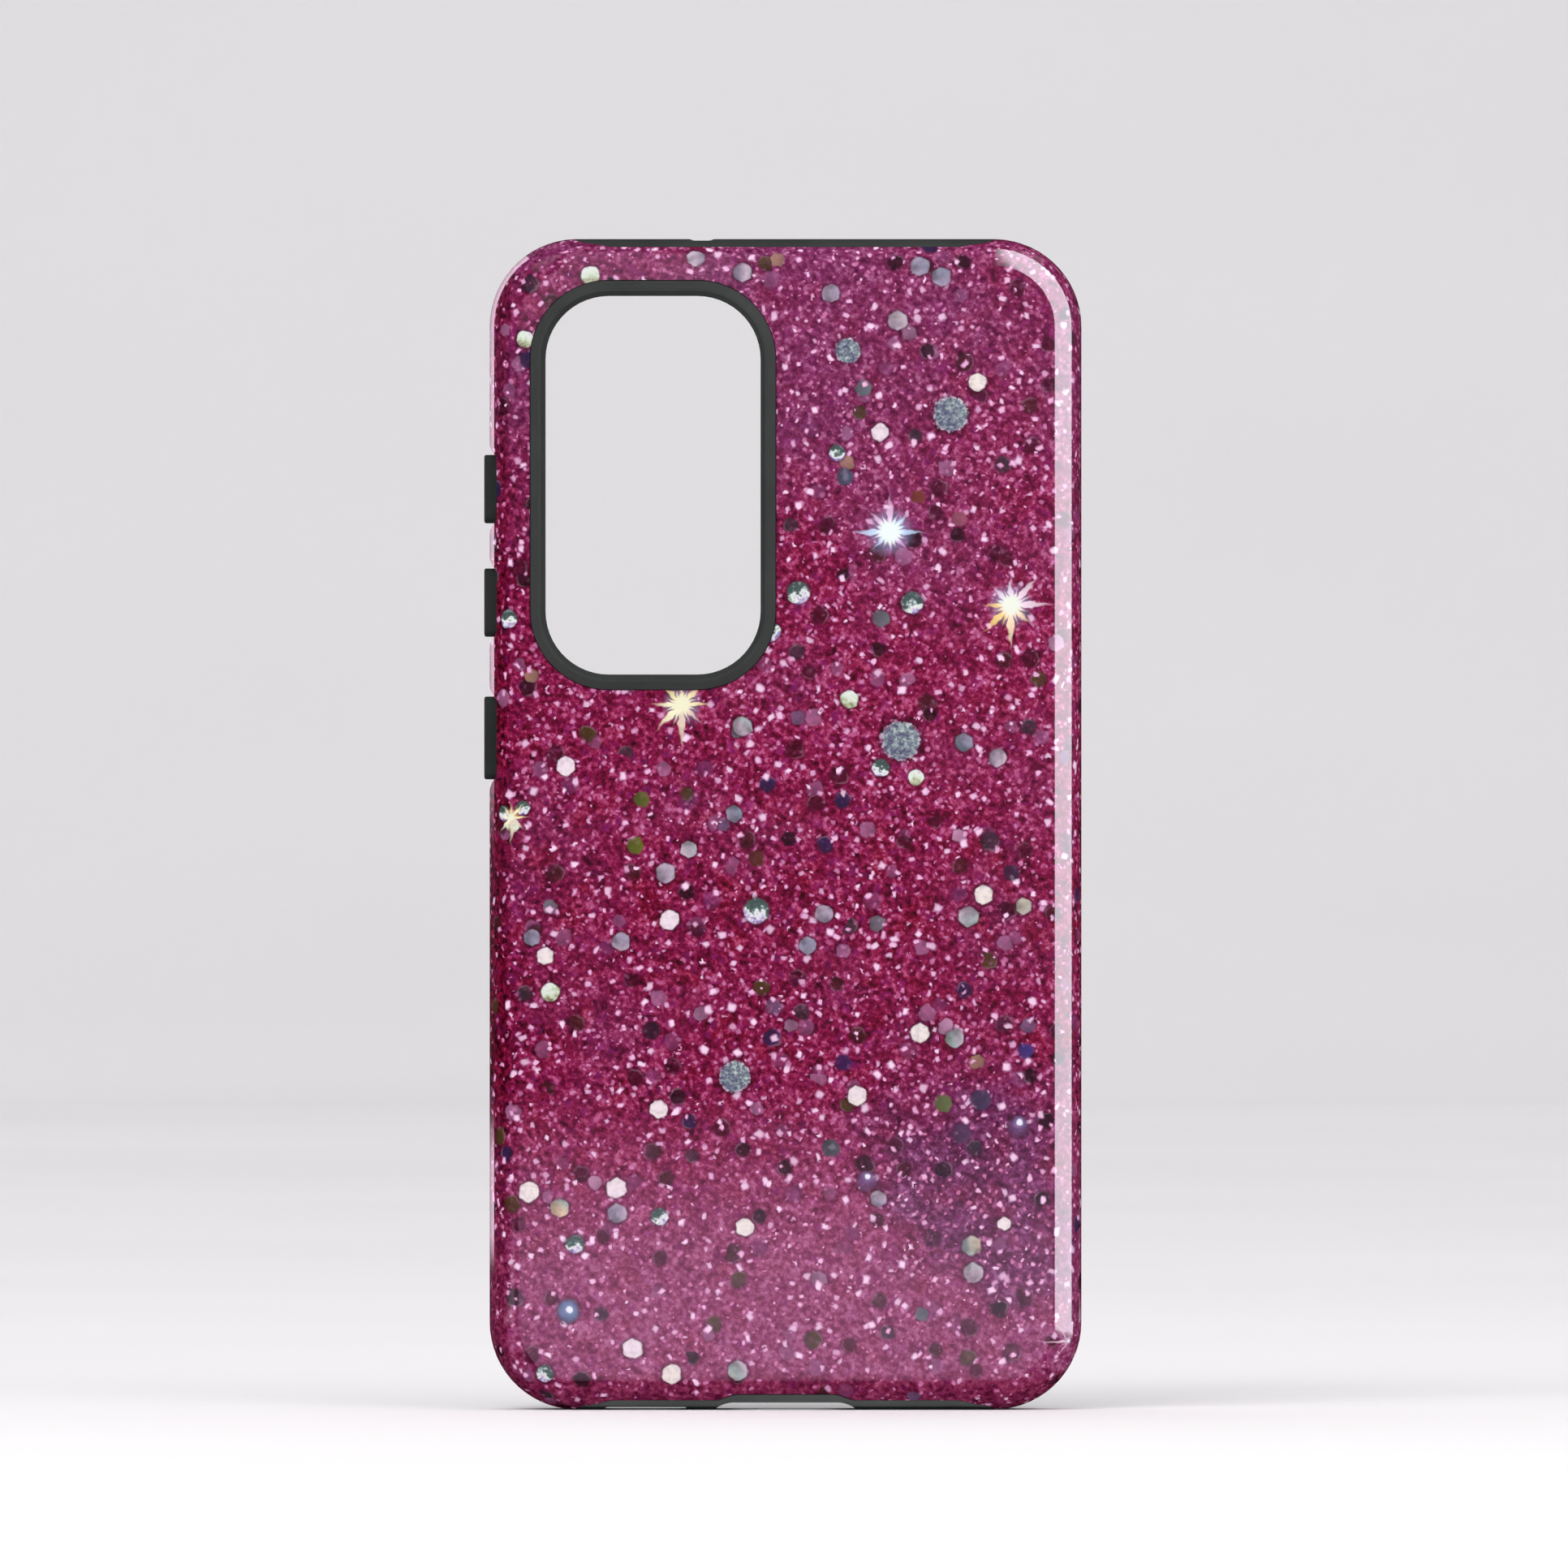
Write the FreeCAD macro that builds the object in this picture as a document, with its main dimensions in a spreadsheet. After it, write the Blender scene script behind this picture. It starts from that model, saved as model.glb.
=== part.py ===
import FreeCAD, Part
import math
import os
import re

import Sketcher
from FreeCAD import Vector

# A two-layer phone case that stands on its bottom edge. A hard outer shell clips over a soft liner,
# and the liner carries the camera rim, the front lip and three key pads on thin webs.
# +Z is up and +X is to the right as seen from the back. The case's back faces -Y and the open front,
# where the phone goes in, faces +Y. The origin is at the middle of the bottom edge.

doc = FreeCAD.newDocument("phone_case")

SIZES = [
    # the whole case
    ("shell_width", 77.1),
    ("shell_height", 152.5),
    ("shell_depth", 10.9),
    ("front_plane", 5.95),
    ("corner_radius", 11.4),
    ("back_rounding", 3.8),
    ("front_rounding", 0.6),
    # the two layers
    ("shell_wall", 1.3),
    ("fit_gap", 0.1),
    ("liner_wall", 1.65),
    ("liner_back", 0.95),
    ("lip_height", 0.9),
    ("lip_overlap", 0.9),
    ("lip_rounding", 0.35),
    ("pocket_rounding", 0.6),
    ("overrun", 1.0),
    # the rim round the camera window
    ("rim_width", 31.9),
    ("rim_height", 53.2),
    ("rim_across", -17.25),
    ("rim_up", 120.4),
    ("rim_corner", 10.2),
    ("rim_band", 1.95),
    ("rim_proud", 1.0),
    ("rim_slope_run", 1.0),
    ("rim_slope_drop", 0.75),
    ("rim_flare_run", 0.6),
    ("rim_flare_drop", 0.9),
    # the shell's notches at the top and bottom edges: half widths, and depths from the back face
    ("notch_flat", 22.8),
    ("notch_shoulder", 27.2),
    ("notch_mouth", 28.6),
    ("notch_floor_top", 1.13),
    ("notch_floor_bottom", 0.96),
    ("notch_shoulder_depth", 2.1),
    ("notch_rounding", 4.0),
    ("shoulder_rounding", 1.5),
    # the air channels pressed into the floor of the pocket
    ("channel_pitch", 9.6),
    ("channel_width", 3.0),
    ("channel_depth", 0.3),
    ("channel_low", 13.0),
    ("channel_high_short", 86.0),
    ("channel_high_long", 139.5),
    # the charging port
    ("port_rise_flat", 6.8),
    ("port_rise_half", 8.9),
    ("port_rise_reach", 11.0),
    ("port_rise_start", 1.26),
    ("port_rise", 2.1),
    ("port_rise_rounding", 3.0),
    ("port_scoop_flat", 7.9),
    ("port_scoop_half", 9.35),
    ("port_scoop_depth", 0.97),
    ("port_scoop_rounding", 4.0),
    ("port_length", 13.0),
    ("port_width", 6.6),
    # the speaker slot and the microphone hole
    ("speaker_across", -18.2),
    ("speaker_dish_flat", 5.1),
    ("speaker_dish_half", 5.7),
    ("speaker_dish_depth", 0.36),
    ("speaker_dish_rounding", 0.8),
    ("speaker_length", 8.6),
    ("speaker_width", 2.2),
    ("mic_across", -10.9),
    ("mic_dish_flat", 1.1),
    ("mic_dish_half", 1.6),
    ("mic_dish_depth", 0.22),
    ("mic_dish_rounding", 1.2),
    ("mic_size", 1.3),
    # the key pads and their webs, and the shell's notch round each pad
    ("key_line", 1.22),
    ("pad_width", 4.4),
    ("pad_proud", 0.72),
    ("pad_inner_face", 36.0),
    ("pad_corner", 1.1),
    ("pad_rounding", 0.28),
    ("web_margin", 0.9),
    ("web_outer_face", 36.9),
    ("web_thickness", 0.5),
    ("web_clearance", 0.05),
    ("pad_notch_floor", 1.3),
    ("pad_notch_flat", 0.3),
    ("pad_notch_shoulder", 1.8),
    ("pad_notch_mouth", 2.05),
    ("pad_notch_shoulder_depth", 4.1),
    ("pad_notch_rounding", 1.2),
    ("volume_up_height", 119.95),
    ("volume_up_length", 8.9),
    ("volume_down_height", 105.15),
    ("volume_down_length", 8.9),
    ("power_height", 87.5),
    ("power_length", 10.8),
]

sheet = doc.addObject("Spreadsheet::Sheet", "Sizes")
for row, (alias, value) in enumerate(SIZES, start=1):
    sheet.set(f"A{row}", alias)
    sheet.set(f"B{row}", str(value))
    sheet.setAlias(f"B{row}", alias)
doc.recompute()

SKETCH_START = 20.0     # how far from the origin a sketch's corners start, before their sizes are bound
NEAR = 1e-4             # two places nearer than this are the same
CUT_LEAST = 0.01        # the least volume that a cut has to take away, in cubic millimetres
ROUND_END = "0.49"      # the share of its width that rounds a slot's end, just under a half circle

# Planes and half sizes that several pieces share, as formulas of the driving sizes.
BACK = "(front_plane - shell_depth)"
FRONT = "front_plane"
PAST_FRONT = "(front_plane + overrun)"
PAST_BACK = f"({BACK} - overrun)"
LAYER = "(shell_wall + fit_gap)"
LINER_OUTSIDE = f"({BACK} + {LAYER})"
POCKET_FLOOR = f"({LINER_OUTSIDE} + liner_back)"
POCKET_TOP = "(front_plane - lip_height)"
ALL_WALLS = f"({LAYER} + liner_wall)"
TOP_EDGE = "shell_height"
SIDE = "(shell_width / 2)"


def formula(text):
    """An expression with each driving size turned into a reference to its cell."""
    return re.sub(r"[a-z][a-z_]+", lambda word: "Sizes." + word.group(0), text)


def bind(item, path, text):
    item.setExpression(path, formula(text))


def outline(body, plane_role, offset, corners):
    """A closed sketch of straight lines on one of the body's own planes, each corner bound to the sizes."""
    sketch = body.newObject("Sketcher::SketchObject", body.Name + "_outline")
    plane = next(item for item in body.Origin.OriginFeatures if item.Role == plane_role)
    sketch.AttachmentSupport = [(plane, "")]
    sketch.MapMode = "FlatFace"
    bind(sketch, "AttachmentOffset.Base.z", offset)
    count = len(corners)
    turns = [2 * math.pi * i / count for i in range(count)]
    start = [Vector(math.cos(turn), math.sin(turn), 0) * SKETCH_START for turn in turns]
    for i in range(count):
        sketch.addGeometry(Part.LineSegment(start[i], start[(i + 1) % count]), False)
    for i in range(count):
        sketch.addConstraint(Sketcher.Constraint("Coincident", i, 2, (i + 1) % count, 1))
    for i, (across, along) in enumerate(corners):
        for kind, place, text in (("DistanceX", start[i].x, across), ("DistanceY", start[i].y, along)):
            index = sketch.addConstraint(Sketcher.Constraint(kind, -1, 1, i, 1, place))
            bind(sketch, f"Constraints[{index}]", text)
    doc.recompute()
    return sketch


def rectangle(across, half_width, along, half_height):
    left, right = f"({across}) - ({half_width})", f"({across}) + ({half_width})"
    low, high = f"({along}) - ({half_height})", f"({along}) + ({half_height})"
    return [(left, low), (right, low), (right, high), (left, high)]


def pad(body, sketch, length):
    feature = body.newObject("PartDesign::Pad", body.Name + "_pad")
    feature.Profile = sketch
    bind(feature, "Length", length)
    doc.recompute()
    return feature


def round_edges(body, feature, radius, chosen):
    """A fillet on the edges that the test picks."""
    names = [f"Edge{i}" for i, edge in enumerate(feature.Shape.Edges, start=1) if chosen(edge)]
    fillet = body.newObject("PartDesign::Fillet", feature.Name + "_round")
    fillet.Base = (feature, names)
    bind(fillet, "Radius", radius)
    doc.recompute()
    return fillet


def bevel_edges(body, feature, along, across, chosen):
    """A chamfer that runs some way along the body's sides and some way across its end face."""
    names = [f"Edge{i}" for i, edge in enumerate(feature.Shape.Edges, start=1) if chosen(edge)]
    chamfer = body.newObject("PartDesign::Chamfer", feature.Name + "_bevel")
    chamfer.Base = (feature, names)
    chamfer.ChamferType = "Two distances"
    bind(chamfer, "Size", along)
    bind(chamfer, "Size2", across)
    doc.recompute()
    return chamfer


def runs_along(axis):
    """Picks the straight edges that run along an axis: 0 for X, 1 for Y, 2 for Z."""
    def chosen(edge):
        if not isinstance(edge.Curve, Part.Line):
            return False
        return abs(edge.Curve.Direction[axis]) > 1 - NEAR
    return chosen


def lies_at(axis, place):
    """Picks the edges that lie in the plane at one place along an axis."""
    def chosen(edge):
        box = edge.BoundBox
        low = (box.XMin, box.YMin, box.ZMin)[axis]
        high = (box.XMax, box.YMax, box.ZMax)[axis]
        return abs(low - place) < NEAR and abs(high - place) < NEAR
    return chosen


def between(axis, low, high):
    """Picks the edges that lie wholly between two places along an axis."""
    def chosen(edge):
        box = edge.BoundBox
        first = (box.XMin, box.YMin, box.ZMin)[axis]
        last = (box.XMax, box.YMax, box.ZMax)[axis]
        return low < first and last < high
    return chosen


def both(first, second):
    """Picks the edges that two tests both pick."""
    return lambda edge: first(edge) and second(edge)


def slab(
    name, across, half_width, along, half_height, back, front, corner, back_round=None, front_round=None
):
    """A rounded rectangle in the back view, from one depth to another, with rounded back and front edges."""
    body = doc.addObject("PartDesign::Body", name)
    corners = rectangle(across, half_width, along, half_height)
    feature = pad(body, outline(body, "XZ_Plane", f"-({front})", corners), f"({front}) - ({back})")
    feature = round_edges(body, feature, corner, runs_along(1))
    if back_round:
        feature = round_edges(body, feature, back_round, lies_at(1, feature.Shape.BoundBox.YMin))
    if front_round:
        feature = round_edges(body, feature, front_round, lies_at(1, feature.Shape.BoundBox.YMax))
    return body


def combine(kind, name, base, tool):
    """A boolean of two objects; a cut that takes nothing away is an error."""
    result = doc.addObject(kind, name)
    result.Base = base
    result.Tool = tool
    result.Refine = True
    doc.recompute()
    if kind == "Part::Cut" and result.Shape.Volume > base.Shape.Volume - CUT_LEAST:
        raise ValueError(name + " takes nothing away")
    return result


def fuse(name, pieces):
    result = doc.addObject("Part::MultiFuse", name)
    result.Shapes = pieces
    result.Refine = True
    doc.recompute()
    return result


# ---------------------------------------------------------------- the case's outside
envelope = slab(
    "case_envelope", "0", SIDE, "shell_height / 2", "shell_height / 2",
    BACK, FRONT, "corner_radius", "back_rounding", "front_rounding",
)


def edge_notch(name, gap, floor, start, length):
    """The cut-away at the top or bottom edge: a flat floor with sloping shoulders, open to the front."""
    half_flat, half_shoulder, half_mouth = (
        f"({size} - {gap})" for size in ("notch_flat", "notch_shoulder", "notch_mouth")
    )
    floor_line = f"({BACK} + {floor} + {gap})"
    shoulder_line = f"({BACK} + notch_shoulder_depth + {gap})"
    corners = [
        (f"-{half_mouth}", PAST_FRONT),
        (f"-{half_shoulder}", shoulder_line),
        (f"-{half_flat}", floor_line),
        (half_flat, floor_line),
        (half_shoulder, shoulder_line),
        (half_mouth, PAST_FRONT),
    ]
    body = doc.addObject("PartDesign::Body", name)
    feature = pad(body, outline(body, "XY_Plane", start, corners), length)
    deep, mouth_line = feature.Shape.BoundBox.YMin, feature.Shape.BoundBox.YMax
    feature = round_edges(
        body, feature, "shoulder_rounding", both(runs_along(2), between(1, deep + NEAR, mouth_line - NEAR))
    )
    round_edges(body, feature, "notch_rounding", both(runs_along(2), lies_at(1, deep)))
    return body


def port_rise(name, gap):
    """The shell's edge rises over the charging port in a soft step, as seen from the back."""
    half_flat, half_step = f"(port_rise_flat - {gap})", f"(port_rise_half - {gap})"
    low, high = f"port_rise_start - {gap}", f"port_rise - {gap}"
    corners = [
        ("-port_rise_reach", "-overrun"),
        ("-port_rise_reach", low),
        (f"-{half_step}", low),
        (f"-{half_flat}", high),
        (half_flat, high),
        (half_step, low),
        ("port_rise_reach", low),
        ("port_rise_reach", "-overrun"),
    ]
    depth = "back_rounding"
    body = doc.addObject("PartDesign::Body", name)
    feature = pad(body, outline(body, "XZ_Plane", f"-({BACK} + {depth})", corners), f"{depth} + overrun")
    box = feature.Shape.BoundBox
    inside = between(0, box.XMin + NEAR, box.XMax - NEAR)
    round_edges(body, feature, "port_rise_rounding", both(runs_along(1), inside))
    return body


TOP_START = f"{TOP_EDGE} - back_rounding"
TOP_LENGTH = "back_rounding + overrun"
BOTTOM_START = "-overrun"
BOTTOM_LENGTH = TOP_LENGTH


# ---------------------------------------------------------------- the outer shell
BUTTONS = ["volume_up", "volume_down", "power"]


def pad_notch(button):
    """The cut-away in the shell's side wall round one key pad, open to the front."""
    height, half = f"{button}_height", f"{button}_length / 2"
    floor_line = f"({BACK} + pad_notch_floor)"
    shoulder_line = f"({BACK} + pad_notch_shoulder_depth)"
    corners = [
        (PAST_FRONT, f"{height} - ({half} + pad_notch_mouth)"),
        (shoulder_line, f"{height} - ({half} + pad_notch_shoulder)"),
        (floor_line, f"{height} - ({half} - pad_notch_flat)"),
        (floor_line, f"{height} + ({half} - pad_notch_flat)"),
        (shoulder_line, f"{height} + ({half} + pad_notch_shoulder)"),
        (PAST_FRONT, f"{height} + ({half} + pad_notch_mouth)"),
    ]
    body = doc.addObject("PartDesign::Body", button + "_notch")
    feature = pad(body, outline(body, "YZ_Plane", f"-({SIDE} + overrun)", corners), "back_rounding + overrun")
    mouth_line = feature.Shape.BoundBox.YMax
    round_edges(
        body, feature, "pad_notch_rounding", both(runs_along(0), between(1, -math.inf, mouth_line - NEAR))
    )
    return body


shell_pocket = slab(
    "shell_pocket", "0", f"{SIDE} - shell_wall", "shell_height / 2", "shell_height / 2 - shell_wall",
    f"{BACK} + shell_wall", PAST_FRONT, "corner_radius - shell_wall", "back_rounding - shell_wall",
)
shell_window = slab(
    "shell_window", "rim_across", "rim_width / 2 + fit_gap", "rim_up", "rim_height / 2 + fit_gap",
    PAST_BACK, f"{BACK} + shell_wall + overrun", "rim_corner + fit_gap",
)
shell_openings = fuse(
    "shell_openings",
    [
        shell_pocket,
        shell_window,
        edge_notch("shell_top_notch", "0", "notch_floor_top", TOP_START, TOP_LENGTH),
        edge_notch("shell_bottom_notch", "0", "notch_floor_bottom", BOTTOM_START, BOTTOM_LENGTH),
        port_rise("shell_port_rise", "0"),
    ]
    + [pad_notch(button) for button in BUTTONS],
)
outer_shell = combine("Part::Cut", "outer_shell", envelope, shell_openings)

# ---------------------------------------------------------------- the inner liner
liner_tray = slab(
    "liner_tray", "0", f"{SIDE} - {LAYER}", "shell_height / 2", f"shell_height / 2 - {LAYER}",
    LINER_OUTSIDE, FRONT, f"corner_radius - {LAYER}", f"back_rounding - {LAYER}",
)


RIM_CREST = f"({BACK} - rim_proud)"


def rim_piece():
    """The raised rim, with a sloping outer face up to its crest."""
    body = doc.addObject("PartDesign::Body", "camera_rim")
    corners = rectangle("rim_across", "rim_width / 2", "rim_up", "rim_height / 2")
    root = f"({LINER_OUTSIDE} + liner_back / 2)"
    feature = pad(body, outline(body, "XZ_Plane", f"-{root}", corners), f"{root} - {RIM_CREST}")
    feature = round_edges(body, feature, "rim_corner", runs_along(1))
    bevel_edges(body, feature, "rim_slope_drop", "rim_slope_run", lies_at(1, feature.Shape.BoundBox.YMin))
    return body


def rim_flare():
    """The funnel that slopes from the rim's crest down into the camera window."""
    body = doc.addObject("PartDesign::Body", "rim_flare")
    inset = "rim_band - rim_flare_run"
    corners = rectangle("rim_across", f"rim_width / 2 - ({inset})", "rim_up", f"rim_height / 2 - ({inset})")
    foot = f"({RIM_CREST} + rim_flare_drop)"
    feature = pad(body, outline(body, "XZ_Plane", f"-{foot}", corners), "rim_flare_drop + overrun")
    feature = round_edges(body, feature, f"rim_corner - ({inset})", runs_along(1))
    bevel_edges(body, feature, "rim_flare_drop", "rim_flare_run", lies_at(1, feature.Shape.BoundBox.YMax))
    return body


def filler(name, tool):
    """Soft material that fills a notch of the shell flush with the case's outside."""
    return combine("Part::Common", name, envelope, tool)


liner_filled = fuse(
    "liner_filled",
    [
        liner_tray,
        rim_piece(),
        filler("top_filler", edge_notch(
            "top_filler_form", "fit_gap", "notch_floor_top",
            f"{TOP_START} + fit_gap", TOP_LENGTH)),
        filler("bottom_filler", edge_notch(
            "bottom_filler_form", "fit_gap", "notch_floor_bottom",
            BOTTOM_START, f"{BOTTOM_LENGTH} - fit_gap")),
        filler("port_filler", port_rise("port_filler_form", "fit_gap")),
    ],
)

pocket = slab(
    "phone_pocket", "0", f"{SIDE} - {ALL_WALLS}", "shell_height / 2", f"shell_height / 2 - {ALL_WALLS}",
    POCKET_FLOOR, POCKET_TOP, f"corner_radius - {ALL_WALLS}", "pocket_rounding",
)
MOUTH_INSET = f"({ALL_WALLS} + lip_overlap)"
mouth = slab(
    "front_mouth", "0", f"{SIDE} - {MOUTH_INSET}", "shell_height / 2", f"shell_height / 2 - {MOUTH_INSET}",
    f"{POCKET_TOP} - overrun", PAST_FRONT, f"corner_radius - {MOUTH_INSET}",
)
window = slab(
    "camera_window", "rim_across", "rim_width / 2 - rim_band", "rim_up", "rim_height / 2 - rim_band",
    f"{RIM_CREST} - overrun", f"{POCKET_FLOOR} + overrun", "rim_corner - rim_band",
)


def edge_recess(name, across, half_flat, half_width, edge, floor, past, rounding):
    """A shallow recess across the top or bottom edge, with sloping ends and rounded corners at its floor."""
    corners = [
        (f"{across} - {half_width}", past),
        (f"{across} - {half_width}", edge),
        (f"{across} - {half_flat}", floor),
        (f"{across} + {half_flat}", floor),
        (f"{across} + {half_width}", edge),
        (f"{across} + {half_width}", past),
    ]
    body = doc.addObject("PartDesign::Body", name)
    sketch = outline(body, "XZ_Plane", f"-{PAST_FRONT}", corners)
    feature = pad(body, sketch, "shell_depth + 2 * overrun")
    box = feature.Shape.BoundBox
    inner = box.ZMax if past.startswith("-") else box.ZMin
    round_edges(body, feature, rounding, both(runs_along(1), lies_at(2, inner)))
    return body


def edge_hole(name, across, length, width, start, depth):
    """A round-ended hole through the top or bottom wall, on the line of the phone's keys and ports."""
    body = doc.addObject("PartDesign::Body", name)
    corners = rectangle(across, f"{length} / 2", "key_line", f"{width} / 2")
    feature = pad(body, outline(body, "XY_Plane", start, corners), depth)
    round_edges(body, feature, f"{ROUND_END} * {width}", runs_along(2))
    return body


def side_block(name, button, margin, outer, inner, corner):
    """A rounded block through the left side wall, in line with one key."""
    body = doc.addObject("PartDesign::Body", name)
    corners = rectangle(
        "key_line", f"pad_width / 2 + {margin}", f"{button}_height", f"{button}_length / 2 + {margin}"
    )
    feature = pad(body, outline(body, "YZ_Plane", f"-({outer})", corners), f"({outer}) - ({inner})")
    round_edges(body, feature, corner, runs_along(0))
    return body


def air_channel(number):
    """One shallow channel in the pocket's floor; those beside the camera window run on past it."""
    across = f"{number} * channel_pitch"
    high = "channel_high_long" if number > 0 else "channel_high_short"
    name = f"air_channel_{number + CHANNELS_EACH_SIDE + 1}"
    return slab(
        name, across, "channel_width / 2", f"(channel_low + {high}) / 2", f"({high} - channel_low) / 2",
        f"{POCKET_FLOOR} - channel_depth", f"{POCKET_FLOOR} + overrun", f"{ROUND_END} * channel_width",
    )


CHANNELS_EACH_SIDE = 3
THROUGH_WALL = f"{ALL_WALLS} + 2 * overrun"
liner_openings = fuse(
    "liner_openings",
    [
        pocket,
        mouth,
        window,
        rim_flare(),
        edge_recess(
            "port_scoop", "0", "port_scoop_flat", "port_scoop_half",
            "0", "port_scoop_depth", "-overrun", "port_scoop_rounding"),
        edge_recess(
            "speaker_dish", "speaker_across", "speaker_dish_flat", "speaker_dish_half",
            "0", "speaker_dish_depth", "-overrun", "speaker_dish_rounding"),
        edge_recess(
            "mic_dish", "mic_across", "mic_dish_flat", "mic_dish_half",
            TOP_EDGE, f"{TOP_EDGE} - mic_dish_depth", f"{TOP_EDGE} + overrun", "mic_dish_rounding"),
        edge_hole("port_hole", "0", "port_length", "port_width", "-overrun", THROUGH_WALL),
        edge_hole(
            "speaker_hole", "speaker_across", "speaker_length", "speaker_width",
            "-overrun", THROUGH_WALL),
        edge_hole(
            "mic_hole", "mic_across", "mic_size", "mic_size",
            f"{TOP_EDGE} - {ALL_WALLS} - overrun", THROUGH_WALL),
    ]
    + [
        side_block(
            button + "_window", button, "web_margin", f"{SIDE} - {LAYER} + overrun",
            f"{SIDE} - {ALL_WALLS} - overrun / 2", "pad_corner + web_margin")
        for button in BUTTONS
    ]
    + [air_channel(number) for number in range(-CHANNELS_EACH_SIDE, CHANNELS_EACH_SIDE + 1)],
)
liner_cut = combine("Part::Cut", "liner_cut", liner_filled, liner_openings)


INSIDE_OUTER_LOOP = 2.5     # how far the lip's inner loop at least lies inside the liner's outline


def inner_front_edges(shape):
    """The loop where the lip meets the front opening."""
    box = shape.BoundBox
    in_front = lies_at(1, box.YMax)
    across = between(0, box.XMin + INSIDE_OUTER_LOOP, box.XMax - INSIDE_OUTER_LOOP)
    along = between(2, box.ZMin + INSIDE_OUTER_LOOP, box.ZMax - INSIDE_OUTER_LOOP)
    inner = both(in_front, both(across, along))
    return [number for number, edge in enumerate(shape.Edges, start=1) if inner(edge)]


inner_liner = doc.addObject("Part::Fillet", "inner_liner")
inner_liner.Base = liner_cut
inner_liner.Edges = [
    (number, sheet.lip_rounding, sheet.lip_rounding) for number in inner_front_edges(liner_cut.Shape)
]
doc.recompute()


# ---------------------------------------------------------------- the key pads and their webs
def key_pad(button):
    """The raised pad: its outer face stands proud of the shell and its inner face meets the phone's key."""
    body = side_block(f"{button}_button", button, "0", f"{SIDE} + pad_proud", "pad_inner_face", "pad_corner")
    feature = body.Tip
    round_edges(body, feature, "pad_rounding", lies_at(0, feature.Shape.BoundBox.XMin))
    return body


def key_web(button):
    """The thin skin between the liner's wall and the pad."""
    skin = side_block(
        f"{button}_skin", button, "web_margin", "web_outer_face", "web_outer_face - web_thickness",
        "pad_corner + web_margin")
    hole = side_block(
        f"{button}_skin_hole", button, "web_clearance", "web_outer_face + overrun",
        "web_outer_face - web_thickness - overrun", "pad_corner + web_clearance")
    return combine("Part::Cut", f"{button}_web", skin, hole)


pieces = [outer_shell, inner_liner]
pieces += [key_pad(button) for button in BUTTONS]
pieces += [key_web(button) for button in BUTTONS]

# ---------------------------------------------------------------- checks and export
doc.recompute()
failed = [item.Name for item in doc.Objects if "Invalid" in item.State or "Error" in item.State]
if failed:
    raise ValueError("failed objects: " + ", ".join(failed))

os.makedirs("parts", exist_ok=True)
for piece in pieces:
    shape = piece.Shape
    if shape.isNull() or not shape.isValid() or len(shape.Solids) != 1:
        raise ValueError(piece.Name + " isn't one valid solid")
    piece.Label = piece.Name
    box = shape.BoundBox
    print(
        f"{piece.Label}: volume {shape.Volume:.1f}, x {box.XMin:.2f} to {box.XMax:.2f}, "
        f"y {box.YMin:.2f} to {box.YMax:.2f}, z {box.ZMin:.2f} to {box.ZMax:.2f}"
    )
    shape.exportStep(f"parts/{piece.Label}.step")
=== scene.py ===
import math

import bmesh
import bpy
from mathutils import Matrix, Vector


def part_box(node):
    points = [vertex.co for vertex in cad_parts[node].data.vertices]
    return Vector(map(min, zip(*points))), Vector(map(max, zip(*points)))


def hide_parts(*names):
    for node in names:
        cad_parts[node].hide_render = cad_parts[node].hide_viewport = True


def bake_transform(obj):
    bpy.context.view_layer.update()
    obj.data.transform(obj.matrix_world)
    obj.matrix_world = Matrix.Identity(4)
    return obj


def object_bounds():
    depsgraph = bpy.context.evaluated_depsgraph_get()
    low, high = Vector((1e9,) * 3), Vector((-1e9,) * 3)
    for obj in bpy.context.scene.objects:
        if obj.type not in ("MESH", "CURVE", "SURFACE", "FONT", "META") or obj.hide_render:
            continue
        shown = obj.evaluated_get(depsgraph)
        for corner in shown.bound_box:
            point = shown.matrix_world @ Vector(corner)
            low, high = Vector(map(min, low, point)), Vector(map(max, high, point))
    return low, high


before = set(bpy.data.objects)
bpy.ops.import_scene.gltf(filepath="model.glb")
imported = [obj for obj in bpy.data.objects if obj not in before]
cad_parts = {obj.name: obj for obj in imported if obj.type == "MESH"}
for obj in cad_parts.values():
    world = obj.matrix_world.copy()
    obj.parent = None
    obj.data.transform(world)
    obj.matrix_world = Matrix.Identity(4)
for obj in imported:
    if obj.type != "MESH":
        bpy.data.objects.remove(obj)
cad_low, cad_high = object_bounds()

MM = 0.001
TAU = 2 * math.pi
BUTTONS = ("volume_up", "volume_down", "power")

shell_low, shell_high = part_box("outer_shell")
SHELL_BACK = shell_low.y
SHELL_HEIGHT = shell_high.z
CORNER_RADIUS = 11.4 * MM
MIDDLE = (cad_low + cad_high) / 2

# print: the colour of the shadows round the discs, and a factor too small to shift a place
SHADE = "2a0618"
NO_SHIFT = 1e-6
# the normal of a hexagon's slanted side, and how far its shape goes towards a circle
SLANT = (0.866, 0.5)
ROUNDING = 0.45

# light: tints, the strengths of the glows that the shell reflects, and the hoods' radius in metres
LILAC = (0.85, 0.75, 1.0, 1)
PEARL = (0.98, 1.0, 1.08, 1)
PINK = (1.0, 0.80, 0.95, 1)
FOOT_GLOW = 1.25
TOP_GLOW = 0.85
EDGE_GLOW = 11.8
OUTLINE_GLOW = (7.5, 1.1)
HOOD_RADIUS = 0.30


# ------------------------------------------------------------------ node graphs
def linear(code):
    """A linear colour from a web colour such as 8a2050."""
    channels = [int(code[i:i + 2], 16) / 255 for i in (0, 2, 4)]
    return tuple(c / 12.92 if c <= 0.04045 else ((c + 0.055) / 1.055) ** 2.4 for c in channels) + (1.0,)


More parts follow.
